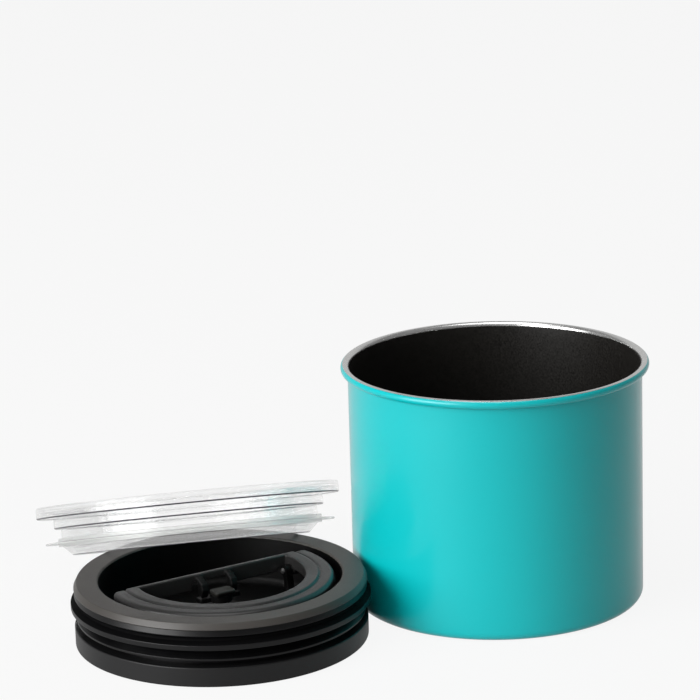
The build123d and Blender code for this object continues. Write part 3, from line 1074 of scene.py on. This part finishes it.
@dataclass
class InnerLid:
    """Plunger lid: flange and dish, lip seals, lower ring, and the valve's housing and spring."""

    finishes: Finishes
    neck: float = 51.4
    mouth: float = 49.45
    # Height above which the lid body's flange takes painted light
    flange_from: float = 22.0
    # Where the upper seal's groove takes painted shade: beyond this radius, between these heights
    groove_floor: float = 58.0
    groove_shade_span: Span = (17.62, 20.5)
    spring_bottom: float = 12.8
    spring_top: float = 17.2
    spring_radius: float = 2.6
    spring_wire: float = 0.25
    spring_turns: float = 4.0
    spring_facets: int = 48
    wire_sides: int = 16

    def place(self) -> Matrix:
        """Returns the lid's place on the table."""
        shift = Matrix.Translation(Vector((LID_X, LID_Y, 0)) * MM)
        return shift @ Matrix.Rotation(math.radians(LID_HEADING), 4, "Z")

    def ring(self) -> bpy.types.Object:
        """Makes the lower ring.

        Returns:
            The ring.
        """
        corners = [
            (57.4, 0), (59.6, 0, 0.5), (59.6, 8.0, 0.5), (self.neck, 8.0),
            (self.neck, 6.4), (57.4, 6.4, 0.5),
        ]
        return turned("lid_ring_dressed", rounded(corners), [self.finishes.ring], self.place())

    def upper_seal(self) -> bpy.types.Object:
        """Makes the upper lip seal.

        Returns:
            The seal, with painted shade in its groove: a darker, duller copy of the silicone.
        """
        corners = [
            (self.neck, 14.197), (self.neck, 23.3), (58.81, 23.3, 0.2), (59.475, 20.852, 0.4),
            (58.383, 20.087, 0.7), (58.383, 18.94, 0.7), (60.9, 17.563, 0.3), (60.9, 15.497, 0.3),
            (59.0, 15.497, 0.3), (56.91, 18.404, 0.3), (54.82, 18.404, 0.3), (54.82, 14.197),
        ]
        points = rounded(corners)
        # Faces in the groove take the painted shade.
        low, high = self.groove_shade_span
        zones = [
            int(radius > self.groove_floor and low < height < high) for radius, height in points
        ]
        made = self.finishes
        return turned(
            "upper_seal_dressed", points, [made.silicone, made.groove_shade], self.place(), zones=zones
        )

    def lower_seal(self) -> bpy.types.Object:
        """Makes the lower lip seal.

        Returns:
            The seal.
        """
        corners = [
            (self.neck, 8.0), (self.neck, 14.197), (55.36, 14.197, 0.2), (57.016, 12.59, 0.3),
            (58.6, 11.29, 0.25), (58.6, 10.372, 0.25), (57.376, 10.372, 0.2),
            (55.576, 12.208, 0.3), (53.992, 12.208, 0.2), (53.992, 8.0),
        ]
        return turned(
            "lower_seal_dressed", rounded(corners), [self.finishes.silicone], self.place()
        )

    def flange_painted_light_zone(self, middle: Vector) -> int:
        """Tells the flange's faces, painted light, from the dish's, painted shade, by their
        distance from the axis and their height.
        """
        reach = math.hypot(middle.x / MM - LID_X, middle.y / MM - LID_Y)
        return int(reach > self.mouth and middle.z / MM > self.flange_from)

    def spring(self) -> bpy.types.Object:
        """Makes the coil round the valve's stem.

        Returns:
            The spring.
        """
        name = "valve_spring_dressed"
        height = self.spring_top - self.spring_bottom - 2 * self.spring_wire
        tree = CoilTree(
            "Valve spring", self.finishes.pin_steel, self.spring_facets, self.wire_sides
        )
        sizes = {
            "Turns": self.spring_turns, "Radius": self.spring_radius * MM,
            "Height": height * MM, "Wire radius": self.spring_wire * MM,
        }
        coil = grown(name, bpy.data.meshes.new("spring_seed"), tree, sizes)
        lift = Matrix.Translation(Vector((0, 0, (self.spring_bottom + self.spring_wire) * MM)))
        return settle(name, coil, self.place() @ lift)

    def build(self) -> None:
        """Makes and places the inner lid's pieces."""
        made = self.finishes
        # The dish of the lid body takes painted shade and its flange takes painted light.
        moulded = carried("lid_body", [made.lid, made.flange], self.flange_painted_light_zone)
        for node, slot, piece in (
            ("lid_body", "lid_plastic", moulded),
            ("lid_base", "lid_plastic", self.ring()),
            ("bottom_plate", "lid_plastic", carried("bottom_plate", [made.ring])),
            ("upper_seal", "dark_silicone", self.upper_seal()),
            ("lower_seal", "dark_silicone", self.lower_seal()),
            ("valve_housing", "lid_plastic", carried("valve_housing", [made.valve])),
            ("housing_screws", "pin_steel", carried("housing_screws", [made.pin_steel])),
            ("valve_spring", "pin_steel", self.spring()),
        ):
            hand_over(piece, Body.INNER_LID, slot, node)


@dataclass
class Handle:
    """Folding handle with its two pivot pins."""

    finishes: Finishes
    cam_reach: float = 12.0
    bar_front: float = 5.5

    def cam_shade_zone(self, middle: Vector) -> int:
        """Tells the cam lobes' faces from the grip's by their place in front of the bar; the lobes
        take painted shade.

        Args:
            middle: Middle of a face, in metres.

        Returns:
            1 on the cam lobes, painted shade in the darker valve plastic, and 0 on the grip.
        """
        from_axis = Vector((middle.x / MM - LID_X, middle.y / MM - LID_Y))
        along, across = Matrix.Rotation(math.radians(-LID_HEADING), 2) @ from_axis
        return int(abs(along) < self.cam_reach and -self.cam_reach < across < self.bar_front)

    def build(self) -> None:
        """Makes and places the handle's pieces."""
        made = self.finishes
        # The cam lobes take the darker valve plastic as painted shade.
        grip = softened("handle", [made.grip, made.valve], self.cam_shade_zone)
        hand_over(grip, Body.HANDLE, "grip_plastic", "handle")
        hand_over(carried("pivot_pins", [made.pin_steel]), Body.HANDLE, "pin_steel", "pivot_pins")


@dataclass
class Valve:
    """Air valve that the handle's cam lobes press shut."""

    finishes: Finishes

    def build(self) -> None:
        """Makes and places the valve's pieces."""
        made = self.finishes
        for node, material, slot in (
            ("valve_stem", made.valve, "grip_plastic"),
            ("valve_plug", made.silicone, "dark_silicone"),
            ("valve_crosshead", made.valve, "grip_plastic"),
            ("valve_button", made.button, "button_plastic"),
        ):
            hand_over(carried(node, [material]), Body.VALVE, slot, node)


@dataclass
class OuterLid:
    """Clear lid that leans on the inner lid, with its translucent seal."""

    finishes: Finishes
    tilt: float = 19.00164
    heading: float = 12.3
    seat_height: float = 26.0
    seat_radius: float = 58.7
    gap: float = 0.3
    sheet: float = 2.2
    rim_radius: float = 64.6
    rim_depth: float = 5.0
    wall_radius: float = 57.5
    wall_depth: float = 9.6
    inner_radius: float = 50.8
    lip_radius: float = 54.6
    groove_radius: float = 53.0
    groove_top: float = 13.6
    groove_bottom: float = 17.0
    foot_radius: float = 50.4
    depth: float = 21.0
    fillet: float = 0.8
    dark_edge_reach: float = 0.75
    steps_around: int = 320

    def place(self) -> Matrix:
        """Works out the leaning pose from where the skirt's foot rests.

        Returns:
            The lid's place.
        """
        tilt, heading = math.radians(self.tilt), math.radians(self.heading)
        along = self.seat_height / math.sin(tilt)
        half_chord = math.sqrt(along * (2 * self.foot_radius - along))
        seat = math.sqrt(self.seat_radius**2 - half_chord**2)
        far = seat + self.seat_height / math.tan(tilt)
        distance = far - self.foot_radius * math.cos(tilt) + self.depth * math.sin(tilt)
        height = self.gap + self.foot_radius * math.sin(tilt) + self.depth * math.cos(tilt)
        centre = Vector(
            (LID_X - distance * math.sin(heading), LID_Y + distance * math.cos(heading), height)
        )
        turn = Matrix.Rotation(heading, 4, "Z") @ Matrix.Rotation(-tilt, 4, "X")
        return Matrix.Translation(centre * MM) @ turn

    def in_painted_dark_edge(self, radius: float, height: float) -> bool:
        """Tells whether a point lies on a lower outer edge, where dark refraction lines are painted
        on the clear plastic.

        Args:
            radius: The point's distance from the axis.
            height: Its height from the lid's top, below 0.

        Returns:
            Whether it does.
        """
        edges = (
            (self.rim_radius, self.rim_depth), (self.wall_radius, self.wall_depth),
            (self.foot_radius, self.depth),
        )
        return any(math.hypot(radius - r, height + d) < self.dark_edge_reach for r, d in edges)

    def lid(self) -> bpy.types.Object:
        """Makes the clear lid.

        Returns:
            The lid, with painted dark refraction lines on three of its lower edges.
        """
        rim, wall, foot, lip = self.rim_radius, self.wall_radius, self.foot_radius, self.lip_radius
        ceiling, fillet = -self.sheet, self.fillet
        corners = [
            (0, 0), (rim, 0, fillet), (rim, -self.rim_depth, fillet),
            (rim - self.sheet, -self.rim_depth, fillet), (rim - self.sheet, ceiling, 0.3),
            (wall, ceiling, 0.3), (wall, -self.wall_depth, fillet),
            (lip, -self.wall_depth, 0.2), (lip, -self.groove_top, 0.15),
            (self.groove_radius, -self.groove_top), (self.groove_radius, -self.groove_bottom),
            (lip, -self.groove_bottom, 0.15), (foot, -self.depth, fillet),
            (foot - self.sheet, -self.depth, fillet),
            (self.inner_radius, -self.groove_bottom, 1.0), (self.inner_radius, ceiling, fillet),
            (0, ceiling),
        ]
        points = rounded(corners)
        zones = [int(self.in_painted_dark_edge(radius, height)) for radius, height in points]
        made = self.finishes
        return turned(
            "outer_lid_dressed", points, [made.clear, made.edge], self.place(),
            steps=self.steps_around, zones=zones,
        )

    def seal(self) -> bpy.types.Object:
        """Makes the translucent seal with its fin.

        Returns:
            The seal.
        """
        corners = [
            (53.02, -13.62), (56.2, -13.62, 0.25), (56.2, -14.9, 0.2), (61.6, -15.4, 0.25),
            (61.6, -16.2, 0.25), (56.2, -15.7, 0.2), (56.2, -16.98, 0.25), (53.02, -16.98),
        ]
        return turned(
            "outer_lid_seal_dressed", rounded(corners), [self.finishes.clear_silicone],
            self.place(), steps=self.steps_around,
        )

    def build(self) -> None:
        """Makes and places the outer lid's pieces."""
        hand_over(self.lid(), Body.OUTER_LID, "clear_plastic", "outer_lid")
        hand_over(self.seal(), Body.OUTER_LID, "clear_silicone", "outer_lid_seal")


# Studio


@dataclass(frozen=True)
class Lamp:
    """Square soft lamp, with its place and the point it faces in metres and its power in watts."""

    name: str
    place: Place
    aim: Place
    side: float
    power: float

    def add(self) -> None:
        """Adds the lamp to the scene."""
        data = bpy.data.lights.new(self.name, "AREA")
        data.energy = self.power
        data.size = self.side
        lamp = bpy.data.objects.new(self.name, data)
        lamp.location = self.place
        facing = Vector(self.aim) - Vector(self.place)
        lamp.rotation_euler = facing.to_track_quat("-Z", "Y").to_euler()
        bpy.context.scene.collection.objects.link(lamp)


@dataclass
class Studio:
    """Pale paper sweep, soft lamps and the photograph's camera.

    The camera's place is in millimetres, its angles are in radians, and its focal length and
    centre are in pixels of the frame. The paper's sizes are in metres.
    """

    finishes: Finishes
    camera_place: Place = (-52.38543, -1309.85679, 461.20257)
    yaw: float = 0.00642
    pitch: float = 0.27796
    roll: float = -0.02954
    focal: float = 3304.94343
    centre: Point = (347.47635, 395.99859)
    frame_width: float = 700.0
    sensor: float = 36.0
    sight: float = 20.0
    room_light: float = 0.2
    paper_half: float = 4.0
    paper_front: float = -4.0
    paper_back: float = 2.2
    paper_bend: float = 1.2
    paper_top: float = 4.0
    bend_steps: int = 24
    lamps: tuple[Lamp, ...] = (
        Lamp("window_left", (-1.35, -1.05, 0.6), (0.0, 0.0, 0.05), 1.25, 38.0),
        Lamp("overhead", (-0.15, -0.3, 1.7), (0.0, 0.0, 0.0), 1.2, 10.0),
    )

    def camera(self) -> None:
        """Adds the camera at the photograph's viewing angle."""
        forward = Vector((
            -math.sin(self.yaw) * math.cos(self.pitch),
            math.cos(self.yaw) * math.cos(self.pitch),
            -math.sin(self.pitch),
        ))
        level = Vector((math.cos(self.yaw), math.sin(self.yaw), 0))
        above = level.cross(forward)
        right = math.cos(self.roll) * level + math.sin(self.roll) * above
        up = -math.sin(self.roll) * level + math.cos(self.roll) * above
        turn = Matrix((right, up, -forward)).transposed().to_4x4()
        middle = self.frame_width / 2
        data = bpy.data.cameras.new("camera")
        data.sensor_width = self.sensor
        data.lens = self.focal / self.frame_width * self.sensor
        data.shift_x = (middle - self.centre[0]) / self.frame_width
        data.shift_y = (self.centre[1] - middle) / self.frame_width
        data.clip_end = self.sight
        camera = bpy.data.objects.new("camera", data)
        camera.matrix_world = Matrix.Translation(Vector(self.camera_place) * MM) @ turn
        bpy.context.scene.collection.objects.link(camera)
        bpy.context.scene.camera = camera

    def sweep(self) -> None:
        """Adds the paper: a floor that curves up into a backdrop."""
        outline = [(self.paper_front, 0.0), (self.paper_back, 0.0)]
        for step in range(1, self.bend_steps + 1):
            angle = math.pi / 2 * step / self.bend_steps
            outline.append((
                self.paper_back + self.paper_bend * math.sin(angle),
                self.paper_bend * (1 - math.cos(angle)),
            ))
        outline.append((self.paper_back + self.paper_bend, self.paper_top))
        vertices = [(x, y, z) for y, z in outline for x in (-self.paper_half, self.paper_half)]
        faces = [(2 * i, 2 * i + 1, 2 * i + 3, 2 * i + 2) for i in range(len(outline) - 1)]
        mesh = bpy.data.meshes.new("paper_sweep")
        mesh.from_pydata(vertices, [], faces)
        dress(mesh, [self.finishes.paper])
        paper = linked("paper_sweep", mesh)

    def world(self) -> None:
        """Fills the room with soft white light."""
        world = bpy.data.worlds.new("room")
        bpy.context.scene.world = world
        world.use_nodes = True
        sky = world.node_tree.nodes["Background"]
        sky.inputs["Color"].default_value = (1.0, 1.0, 1.0, 1.0)
        sky.inputs["Strength"].default_value = self.room_light

    def build(self) -> None:
        """Sets up the studio."""
        self.camera()
        self.sweep()
        self.world()
        for lamp in self.lamps:
            lamp.add()
        bpy.context.scene.view_settings.view_transform = "Standard"


def main() -> None:
    """Builds every sub-assembly in order."""
    logging.basicConfig(level=logging.INFO, format="%(name)s: %(message)s")
    FRAME.update(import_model())
    finishes = Finishes()
    Canister(finishes).build()
    InnerLid(finishes).build()
    Handle(finishes).build()
    Valve(finishes).build()
    OuterLid(finishes).build()
    Studio(finishes).build()
    log.info("sizes written")


if __name__ == "__main__":
    main()
